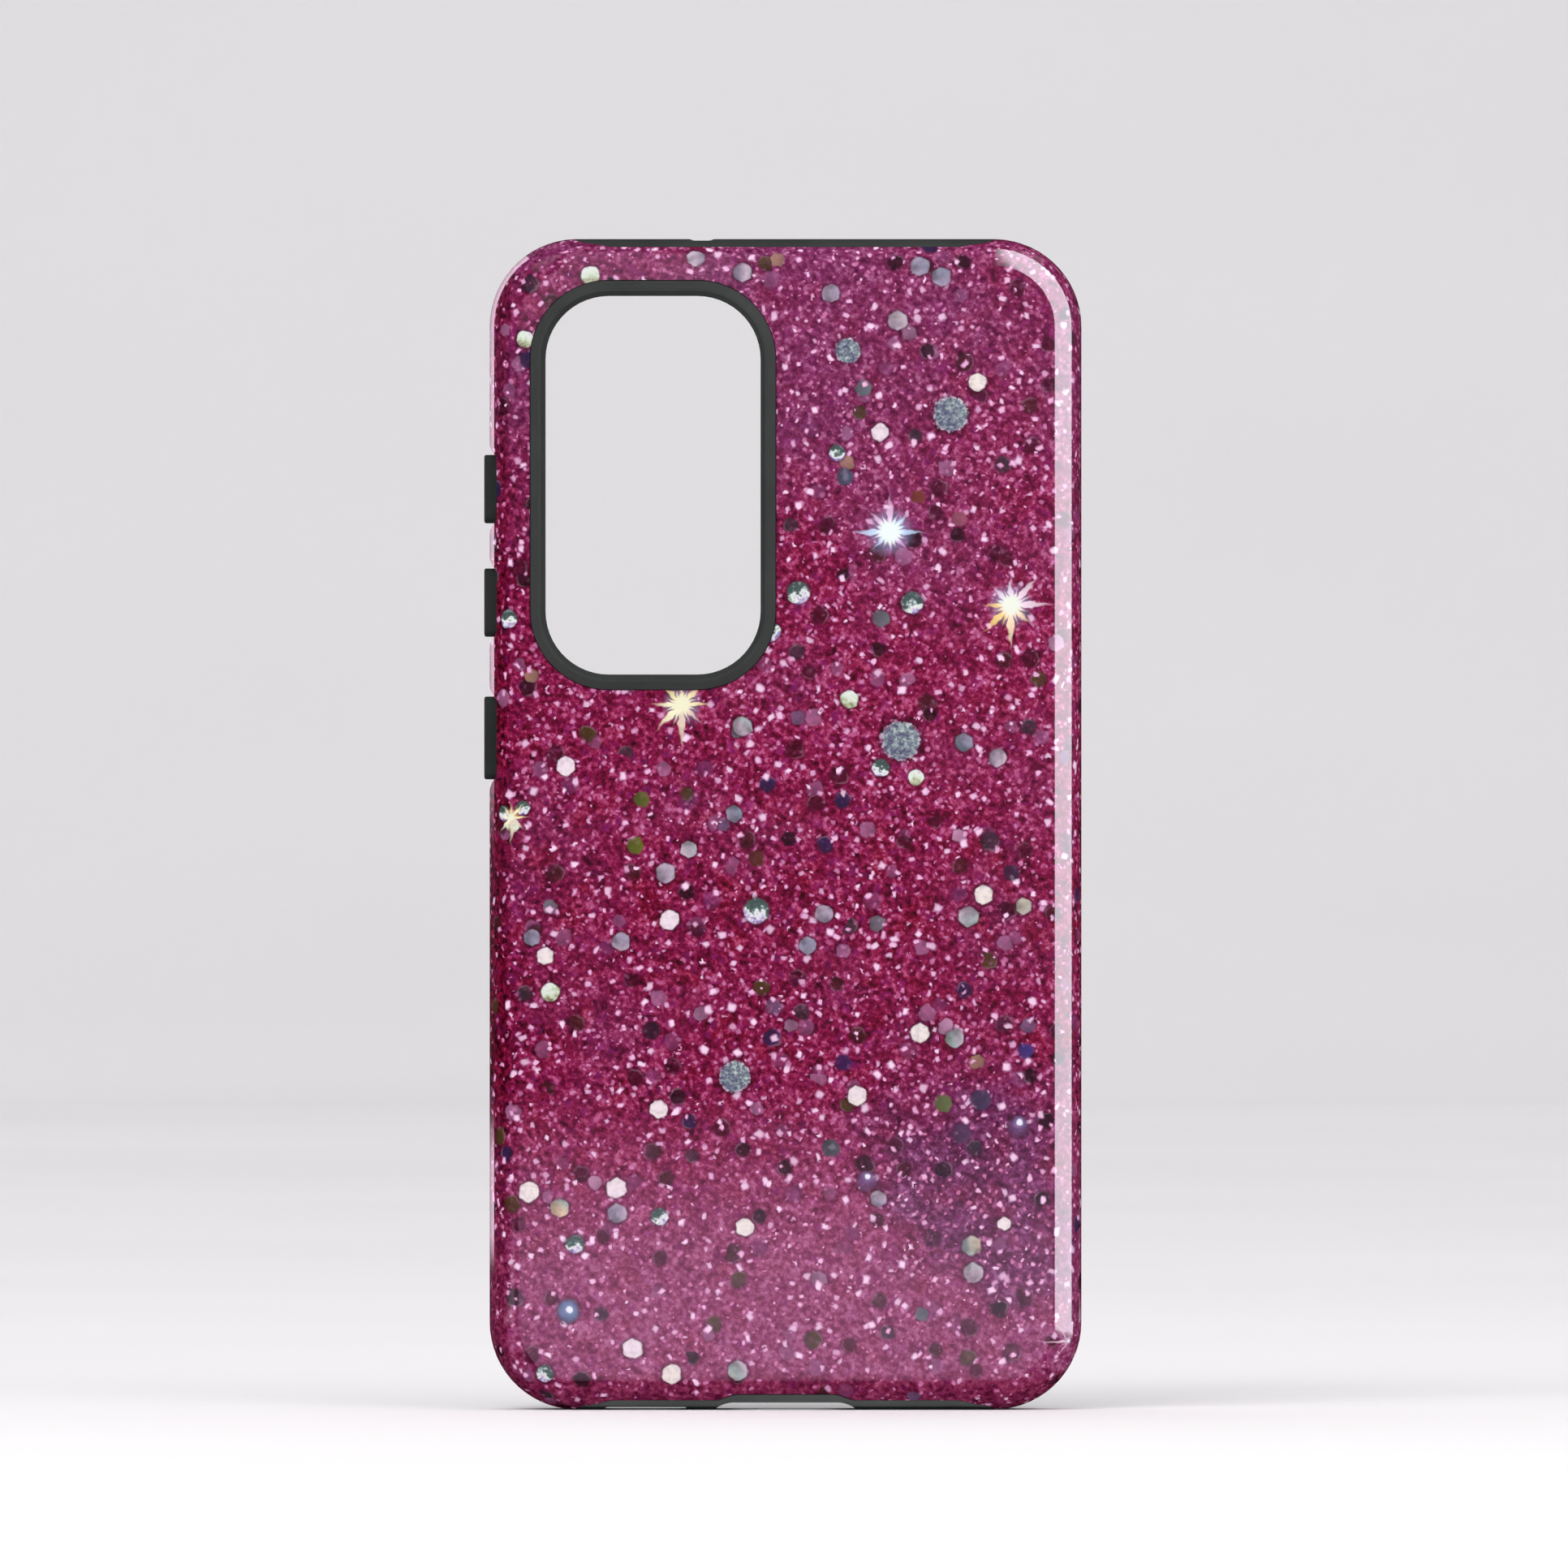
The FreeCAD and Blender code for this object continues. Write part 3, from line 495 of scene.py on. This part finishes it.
def placed_discs(graph, flat, jitter, colour):
    """The discs and beads with places of their own, up to the large frosted ones."""
    soft = graph.noise(flat, 1 / 3.0, 1.0)
    mottle = graph.noise(flat, 1 / 0.7, 2.0, 0.6)
    cloud = graph.between(mottle, 0.3, 0.7, -0.12, 0.12)
    round_uv = graph.vector("MULTIPLY_ADD", jitter, (0.45, 0.45, 0), flat)

    place = graph.after(colour, round_uv)
    for x, z, radius, code in TINTED_DISCS:
        local = in_radii(graph, place, x, z, radius)
        side, _, _ = graph.split(local)
        gleam = graph.between(graph.math("ADD", side, cloud), -1.0, 1.0, 0.7, 1.25)
        paint = graph.shade(linear(code), gleam)
        distance = hexagon(graph, local)
        colour = graph.blend(graph.between(distance, 0.78, 1.0, 0.85, 0.0), colour, paint)

    distance, offset = nearest(graph, graph.after(colour, round_uv), PALE_DISCS)
    side, _, _ = graph.split(turned(graph, offset, graph.math("MULTIPLY", soft, 2.0 * TAU)))
    tone = graph.between(graph.noise(flat, 1 / 14, 1.0), 0.35, 0.65)
    pale = graph.ramp(tone, [
        (0.0, "6c7484"), (0.3, "8c8096"), (0.55, "ab98a6"), (0.75, "839090"), (1.0, "bda48e")])
    gleam = graph.between(graph.math("MULTIPLY_ADD", cloud, 3.0, side), -0.7, 0.7, 0.6, 1.3)
    pale = graph.shade(pale, gleam)
    colour = lay(graph, colour, chipped(graph, distance, turned(graph, offset, soft)), pale)

    distance, offset = nearest(graph, graph.after(colour, round_uv), WHITE_DISCS)
    warm = graph.between(graph.noise(flat, 1 / 9, 1.0), 0.4, 0.6)
    white = graph.blend(warm, linear("e6d6e0"), linear("e6dcd6"))
    # greyer in mottled patches, and painted shade towards each disc's edge
    mottle_and_edge_shade = graph.math("ADD", mottle, graph.math("MULTIPLY", distance, 0.12))
    grey = graph.between(mottle_and_edge_shade, 0.5, 0.8, 0.0, 0.5)
    white = graph.blend(grey, white, linear("a8929e"))
    colour = lay(graph, colour, chipped(graph, distance, turned(graph, offset, soft)), white)

    tip = graph.between(soft, 0.3, 0.7, -0.9, 0.9)
    distance, offset = nearest(graph, graph.after(colour, round_uv), GLASS_BEADS)
    # painted light and shade across each bead: a painted white highlight band with a dark band beside
    # it
    glass = graph.ramp(across_bead(graph, offset, tip, cloud), [
        (0.0, "5c5088"), (0.16, "8a7cae"), (0.28, "cdbfd8"), (0.40, "e2e8e2"), (0.50, "8c9c9c"),
        (0.58, "4a5a58"), (0.80, "3a4846"), (1.0, "7c8c90")])
    colour = lay(graph, colour, distance, glass)

    distance, offset = nearest(graph, graph.after(colour, round_uv), CREAM_BEADS)
    # painted shading: dark on one side of each bead, pale towards the other
    cream = graph.ramp(across_bead(graph, offset, tip, cloud), [
        (0.0, "584a44"), (0.16, "848066"), (0.32, "b0b698"),
        (0.52, "ccd8c4"), (0.75, "dde2de"), (1.0, "c4b4c2")])
    colour = lay(graph, colour, distance, cream)

    blue, violet = ("7488ac", "5c7096", "4a5474"), ("8c78a8", "6c5080", "5a3c64")
    colour = lens(graph, round_uv, colour, BLUE_BEADS, (0.1, 0.12, 0), 0.9, blue)
    colour = lens(graph, round_uv, colour, VIOLET_BEADS, (0.1, 0.42, 0), 0.6, violet)

    distance, offset = nearest(graph, graph.after(colour, round_uv), FROSTED_DISCS)
    distance = graph.math("ADD", distance, graph.between(mottle, 0.3, 0.7, 0.07, -0.07))
    beside, below, _ = graph.split(offset)
    slope = graph.math("ADD", beside, below)
    sparkle = graph.between(graph.noise(flat, 1 / 0.35, 3.0, 0.7), 0.3, 0.7, -0.09, 0.09)
    lit = graph.math("MULTIPLY_ADD", slope, 0.05, sparkle)
    frost = graph.ramp(graph.math("ADD", mottle, lit), [
        (0.24, "4a4662"), (0.40, "5d6076"), (0.50, "727a88"), (0.60, "869294"), (0.76, "bccac4")])
    near_edge = graph.between(distance, 0.80, 0.95)
    crust = graph.math("MULTIPLY", near_edge, graph.between(mottle, 0.45, 0.60))
    frost = graph.blend(graph.math("MULTIPLY", crust, 0.8), frost, linear("d0b4cc"))
    return lay(graph, colour, distance, frost, edge=0.92)


def print_colour(graph, flat):
    """The whole print, from the fine grain up to the sequins, the beads and the stars of light."""
    jitter = graph.vector("SUBTRACT", graph.noise(flat, 1 / 1.1, 1.0, colour=True), (0.5, 0.5, 0.5))
    uv = graph.vector("MULTIPLY_ADD", jitter, (0.7, 0.7, 0), flat)
    colour, edge_shade = base_colour(graph, flat, uv)
    colour = scatter(graph, flat, uv, colour, edge_shade)
    colour = placed_discs(graph, flat, jitter, colour)
    for place in STARS:
        colour = star(graph, uv, colour, *place)
    return colour


def shell_material():
    """Clear-coated glitter print on the outside, and bare dark plastic on the inside and cut edges."""
    graph = Graph("glitter_shell")
    place = graph.node("ShaderNodeTexCoord")
    x, y, z = graph.split(place.outputs["Object"])
    nx, ny, nz = graph.split(place.outputs["Normal"])
    depth = graph.math("SUBTRACT", y, SHELL_BACK)
    u = graph.math("MULTIPLY", graph.math("MULTIPLY_ADD", nx, depth, x), 1 / MM)
    v = graph.math("MULTIPLY", graph.math("MULTIPLY_ADD", nz, depth, z), 1 / MM)
    printed = print_colour(graph, graph.join(u, v))

    # the outer faces point away from the middle of the case, or straight back
    sideways = graph.math("MULTIPLY", nx, x)
    upright = graph.math("MULTIPLY", nz, graph.math("SUBTRACT", z, SHELL_HEIGHT / 2))
    outward = graph.math("ADD", sideways, upright)
    outward = graph.math("ADD", outward, graph.math("MULTIPLY", ny, -MM))
    faces_out = graph.math("GREATER_THAN", outward, 0.0)
    wraps = graph.between(ny, 0.5, 0.9, 1.0, 0.0)
    mask = graph.math("MULTIPLY", faces_out, wraps)
    cloud = graph.noise(place.outputs["Object"], 1 / (9 * MM), 2.0)
    inside = graph.blend(cloud, linear("353033"), linear("454043"))
    graph.plug(graph.shader.inputs["Base Color"], graph.blend(mask, inside, printed))
    graph.plug(graph.shader.inputs["Roughness"], graph.between(cloud, 0.3, 0.7, 0.50, 0.60))
    graph.plug(graph.shader.inputs["Coat Weight"], mask)
    graph.shader.inputs["Coat Roughness"].default_value = 0.035
    graph.shader.inputs["Coat IOR"].default_value = 1.5
    graph.shader.inputs["Specular IOR Level"].default_value = 0.02
    return graph.material


def soft_material(name, code, light_code):
    """Satin grey moulded soft plastic with a fine moulded grain and faint cloudiness."""
    graph = Graph(name)
    place = graph.vector("MULTIPLY", graph.node("ShaderNodeTexCoord").outputs["Object"], (1 / MM,) * 3)
    cloud = graph.noise(place, 1 / 9, 3.0, 0.6)
    grain = graph.noise(place, 1 / 0.16, 3.0, 0.65)
    colour = graph.blend(graph.between(cloud, 0.3, 0.7), linear(code), linear(light_code))
    colour = graph.blend(graph.between(grain, 0.55, 0.8, 0.0, 0.25), colour, linear("4a4e4c"))
    graph.plug(graph.shader.inputs["Base Color"], colour)
    graph.plug(graph.shader.inputs["Roughness"], graph.between(cloud, 0.3, 0.7, 0.50, 0.60))
    graph.plug(graph.shader.inputs["Normal"], graph.bump(grain, 0.35, 0.03 * MM))
    graph.shader.inputs["Specular IOR Level"].default_value = 0.25
    return graph.material


def wear(node, material):
    """Gives a CAD node or piece one material."""
    node.data.materials.clear()
    node.data.materials.append(material)


# ------------------------------------------------------------------ the webs round the key pads
def rounded_loop(low, high, corner, x):
    """The points of a rounded rectangle in the plane at x, with its corners as arcs."""
    steps = 10
    points = []
    centres = [
        (high.y - corner, high.z - corner, 0.0), (low.y + corner, high.z - corner, 0.25),
        (low.y + corner, low.z + corner, 0.5), (high.y - corner, low.z + corner, 0.75),
    ]
    for y, z, start in centres:
        for step in range(steps + 1):
            angle = TAU * (start + 0.25 * step / steps)
            points.append(Vector((x, y + corner * math.cos(angle), z + corner * math.sin(angle))))
    return points


def make_web(button, material):
    """A thin skin that slopes up from the liner's wall to the key pad."""
    node = f"{button}_web"
    outer_low, outer_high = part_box(node)
    pad_low, pad_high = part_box(f"{button}_button")
    skin, rise, tuck = 0.38 * MM, 0.55 * MM, 0.06 * MM
    root = outer_high.x + 0.02 * MM
    # from the wall to the pad: share of the way across, and share of the rise out of the wall
    profile = [(0.0, 0.0), (0.2, 0.02), (0.45, 0.22), (0.7, 0.7), (0.88, 0.95), (1.0, 1.0)]
    loops = []
    for share, climb in profile + [(share, climb - skin / rise) for share, climb in reversed(profile)]:
        low = outer_low.lerp(pad_low, share)
        high = outer_high.lerp(pad_high, share)
        inset = tuck if share == 1.0 else (-tuck if share == 0.0 else 0.0)
        low = low + Vector((0, inset, inset))
        high = high - Vector((0, inset, inset))
        corner = (2.0 - 0.9 * share) * MM
        loops.append(rounded_loop(low, high, corner, root - rise * climb - skin))
    mesh = bpy.data.meshes.new(f"{button}_bellows")
    form = bmesh.new()
    rings = [[form.verts.new(point) for point in loop] for loop in loops]
    count = len(rings[0])
    for ring, following in zip(rings, rings[1:] + rings[:1]):
        for i in range(count):
            j = (i + 1) % count
            form.faces.new((ring[i], ring[j], following[j], following[i]))
    bmesh.ops.recalc_face_normals(form, faces=form.faces)
    form.to_mesh(mesh)
    form.free()
    mesh.shade_smooth()
    piece = bpy.data.objects.new(f"{button}_bellows", mesh)
    bpy.context.scene.collection.objects.link(piece)
    wear(piece, material)
    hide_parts(node)
    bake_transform(piece)


# ------------------------------------------------------------------ floor, light and camera
def make_stage():
    """A pale floor that curves up into a pale wall all round."""
    flat, curve, top, sides, steps = 3.0, 1.2, 3.6, 96, 16
    profile = [(0.4, 0.0), (1.5, 0.0), (flat, 0.0)]
    for step in range(1, steps + 1):
        bend = TAU / 4 * step / steps
        profile.append((flat + curve * math.sin(bend), curve * (1 - math.cos(bend))))
    profile.append((flat + curve, top))
    form = bmesh.new()
    centre = form.verts.new((0, 0, 0))
    angles = [TAU * i / sides for i in range(sides)]
    rings = []
    for radius, z in profile:
        rings.append([form.verts.new((radius * math.cos(a), radius * math.sin(a), z)) for a in angles])
    for i in range(sides):
        j = (i + 1) % sides
        form.faces.new((centre, rings[0][i], rings[0][j]))
        for ring, following in zip(rings, rings[1:]):
            form.faces.new((ring[i], following[i], following[j], ring[j]))
    mesh = bpy.data.meshes.new("studio_floor")
    form.to_mesh(mesh)
    form.free()
    mesh.shade_smooth()
    floor = bpy.data.objects.new("studio_floor", mesh)
    bpy.context.scene.collection.objects.link(floor)
    graph = Graph("pale_floor")
    place = graph.node("ShaderNodeTexCoord").outputs["Object"]
    tone = graph.between(graph.noise(place, 3.0, 2.0), 0.3, 0.7)
    graph.plug(graph.shader.inputs["Base Color"], graph.blend(tone, linear("efedef"), linear("f2f1f2")))
    graph.shader.inputs["Roughness"].default_value = 0.9
    graph.shader.inputs["Specular IOR Level"].default_value = 0.0
    wear(floor, graph.material)


def area_light(name, place, target, width, height, power):
    """A soft light that no reflection shows."""
    light = bpy.data.lights.new(name, "AREA")
    light.shape = "RECTANGLE"
    light.size, light.size_y = width, height
    light.energy = power
    lamp = bpy.data.objects.new(name, light)
    lamp.location = place
    lamp.rotation_euler = (Vector(target) - Vector(place)).to_track_quat("-Z", "Y").to_euler()
    lamp.visible_camera = False
    lamp.visible_glossy = False
    bpy.context.scene.collection.objects.link(lamp)
    return lamp


def only_reflected(name, points, faces, glow, tint):
    """A surface that only reflections see, black but for a glow worked out from its coordinates."""
    mesh = bpy.data.meshes.new(name)
    mesh.from_pydata(points, [], faces)
    card = bpy.data.objects.new(name, mesh)
    bpy.context.scene.collection.objects.link(card)
    graph = Graph(name)
    graph.shader.inputs["Base Color"].default_value = (0, 0, 0, 1)
    graph.shader.inputs["Specular IOR Level"].default_value = 0.0
    graph.shader.inputs["Emission Color"].default_value = tint
    x, y, z = graph.split(graph.node("ShaderNodeTexCoord").outputs["Object"])
    graph.plug(graph.shader.inputs["Emission Strength"], glow(graph, x, y, z))
    wear(card, graph.material)
    card.visible_camera = False
    card.visible_diffuse = False
    card.visible_shadow = False
    card.visible_transmission = False
    return card


def flag(name, points):
    """A black card, as a photographer's flag."""
    only_reflected(name, points, [range(len(points))], lambda graph, x, y, z: 0.0, LILAC)


def only_for(light, node):
    """Lets a light or a glowing card reach one CAD node alone."""
    receivers = bpy.data.collections.new(f"{light.name}_receivers")
    receivers.objects.link(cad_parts[node])
    light.light_linking.receiver_collection = receivers


def hood(name, centre, tilts, turns, foot, glow, tint):
    """A curved light that the shell's rounded edge and corner reflect as one band of even width.

    tilts are the angles off the line to the camera, and turns the angles round it, both in degrees.
    """
    steps = 24
    points, faces = [], []
    for i in range(steps + 1):
        tilt = math.radians(tilts[0] + (tilts[1] - tilts[0]) * i / steps)
        rays = []
        for j in range(steps + 1):
            turn = math.radians(turns[0] + (turns[1] - turns[0]) * j / steps)
            away = math.sin(tilt)
            ray = Vector((away * math.cos(turn), -math.cos(tilt), away * math.sin(turn)))
            rays.append(ray * HOOD_RADIUS)
        low_end = Vector((centre.x, centre.y, foot)) + rays[0]
        points += [low_end] + [centre + ray for ray in rays]
    across = steps + 2
    for i in range(steps):
        for j in range(steps + 1):
            first = i * across + j
            faces.append((first, first + 1, first + across + 1, first + across))
    only_for(only_reflected(name, points, faces, glow, tint), "outer_shell")


def haze(graph, x, y, z):
    """The soft lilac glow that the case's back reflects over its foot and at its top left."""
    foot = graph.between(z, 0.012, 0.042, FOOT_GLOW, 0.0, smooth=True)
    inside = graph.between(graph.math("ABSOLUTE", x), 0.036, 0.044, 1.0, 0.0, smooth=True)
    top = graph.between(z, 0.136, 0.152, 0.0, TOP_GLOW, smooth=True)
    left = graph.between(x, -0.012, -0.002, 1.0, 0.0, smooth=True)
    return graph.math("MULTIPLY", graph.math("MULTIPLY_ADD", top, left, foot), inside)


def make_flags(right):
    """Black cards all round, which keep the pale room out of the shell's reflections."""
    side, back, high, roof = 0.45, 0.50, 0.7, 0.5
    front, lift = -0.15, 0.0002

    # the front flag's top right corner is round, to leave the hood's reflection its even width
    reach = 0.031 + CORNER_RADIUS
    outline = [(-0.08, 0), (right.x + reach, 0)]
    for step in range(13):
        turn = TAU * step / 48
        outline.append((right.x + reach * math.cos(turn), right.z + reach * math.sin(turn)))
    outline += [(right.x - 0.004, roof), (-0.08, roof)]
    points = [(x, front, z) for x, z in outline]
    only_reflected("front_flag", points, [range(len(points))], haze, LILAC)

    for name, x, start in (("right_flag", side, -0.06), ("left_flag", -side, -1.50)):
        flag(name, [(x, start, 0), (x, back, 0), (x, back, high), (x, start, high)])
    flag("back_flag", [(-side, back, 0), (side, back, 0), (side, back, high), (-side, back, high)])
    # the top flag leaves the corner on the hood's side open
    top_end, foot_start, wide = 0.021, front + 0.002, 0.3
    corners = [(-side, front), (top_end, front), (side, back), (-side, back)]
    flag("top_flag", [(x, y, roof) for x, y in corners])
    corners = [(-wide, foot_start), (wide, foot_start), (wide, back), (-wide, back)]
    flag("foot_flag", [(x, y, lift) for x, y in corners])


def make_lights():
    """A soft key and fill, hoods for the crisp edge reflections, and flags that deepen the print."""
    aim = (0, 0, MIDDLE.z)
    area_light("key", (-0.7, -1.3, 1.3), aim, 1.0, 1.0, 12)
    area_light("fill", (0.9, -1.2, 0.7), aim, 0.9, 0.9, 5)
    # thrown up from the floor at the liner's foot, which would be dark without it
    low_place, straight_up = (0, -0.018, 0.0003), (0, -0.0179, 1)
    bounce = area_light("foot_bounce", low_place, straight_up, 0.09, 0.03, 0.0085)
    only_for(bounce, "inner_liner")

    # the centres of the shell's upper corners, which the hoods are curved round
    right = Vector((shell_high.x - CORNER_RADIUS, 0, shell_high.z - CORNER_RADIUS))
    left = Vector((shell_low.x + CORNER_RADIUS, 0, shell_high.z - CORNER_RADIUS))
    low_end = 0.0018
    near, far, lift = 0.066, 0.34, 0.0004

    def edge_glow(graph, x, y, z):
        return graph.between(x, right.x - 0.001, right.x + 0.050, 0.0, EDGE_GLOW, smooth=True)

    def foot_glow(graph, x, y, z):
        return graph.between(x, near, near + 0.044, 0.0, EDGE_GLOW, smooth=True)

    def outline_glow(graph, x, y, z):
        """Dimmer further back, where the shell's edge reflects more of it, and off half way up."""
        strength = graph.between(y, 0.12, 0.26, *OUTLINE_GLOW)
        upper = graph.between(z, 0.070, 0.100, smooth=True)
        lower = graph.between(z, 0.036, 0.026, smooth=True)
        lower = graph.math("MULTIPLY", lower, graph.between(z, 0.011, 0.018, smooth=True))
        return graph.math("MULTIPLY", strength, graph.math("MAXIMUM", upper, lower))

    hood("edge_hood", right, (12, 82), (0, 100), low_end, edge_glow, PEARL)
    # a card on the floor, which carries the edge hood's reflection round the lower corner
    floor = [(near, -HOOD_RADIUS, lift), (far, -HOOD_RADIUS, lift), (far, 0.0, lift), (near, 0.0, lift)]
    only_for(only_reflected("foot_card", floor, [range(4)], foot_glow, PEARL), "outer_shell")
    hood("outline_hood", left, (114, 166), (180, 125), low_end, outline_glow, PINK)
    make_flags(right)

    world = bpy.data.worlds.new("studio")
    world.use_nodes = True
    background = world.node_tree.nodes["Background"]
    background.inputs["Color"].default_value = (1, 1, 1, 1)
    background.inputs["Strength"].default_value = 0.95
    bpy.context.scene.world = world


def make_camera():
    """Straight on to the case's back, from far enough that the sides hardly show."""
    distance, frame_height = 3.0, 0.20405
    aside, height = -0.0002, 0.0815
    camera = bpy.data.cameras.new("camera")
    camera.sensor_width = 36
    camera.lens = camera.sensor_width * distance / frame_height
    camera.clip_start, camera.clip_end = 0.05, 20
    rig = bpy.data.objects.new("camera", camera)
    rig.location = (aside, SHELL_BACK - distance, height)
    rig.rotation_euler = (math.pi / 2, 0, 0)
    bpy.context.scene.collection.objects.link(rig)
    bpy.context.scene.camera = rig


# ------------------------------------------------------------------ putting it together
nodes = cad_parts
liner_finish = soft_material("liner_soft", "343736", "3c3f3d")
pad_finish = soft_material("pad_soft", "2c302d", "343735")
wear(nodes["outer_shell"], shell_material())
wear(nodes["inner_liner"], liner_finish)
for button in BUTTONS:
    wear(nodes[f"{button}_button"], pad_finish)
    wear(nodes[f"{button}_web"], liner_finish)
    make_web(button, liner_finish)

make_stage()
make_lights()
make_camera()
bpy.context.scene.view_settings.view_transform = "Standard"
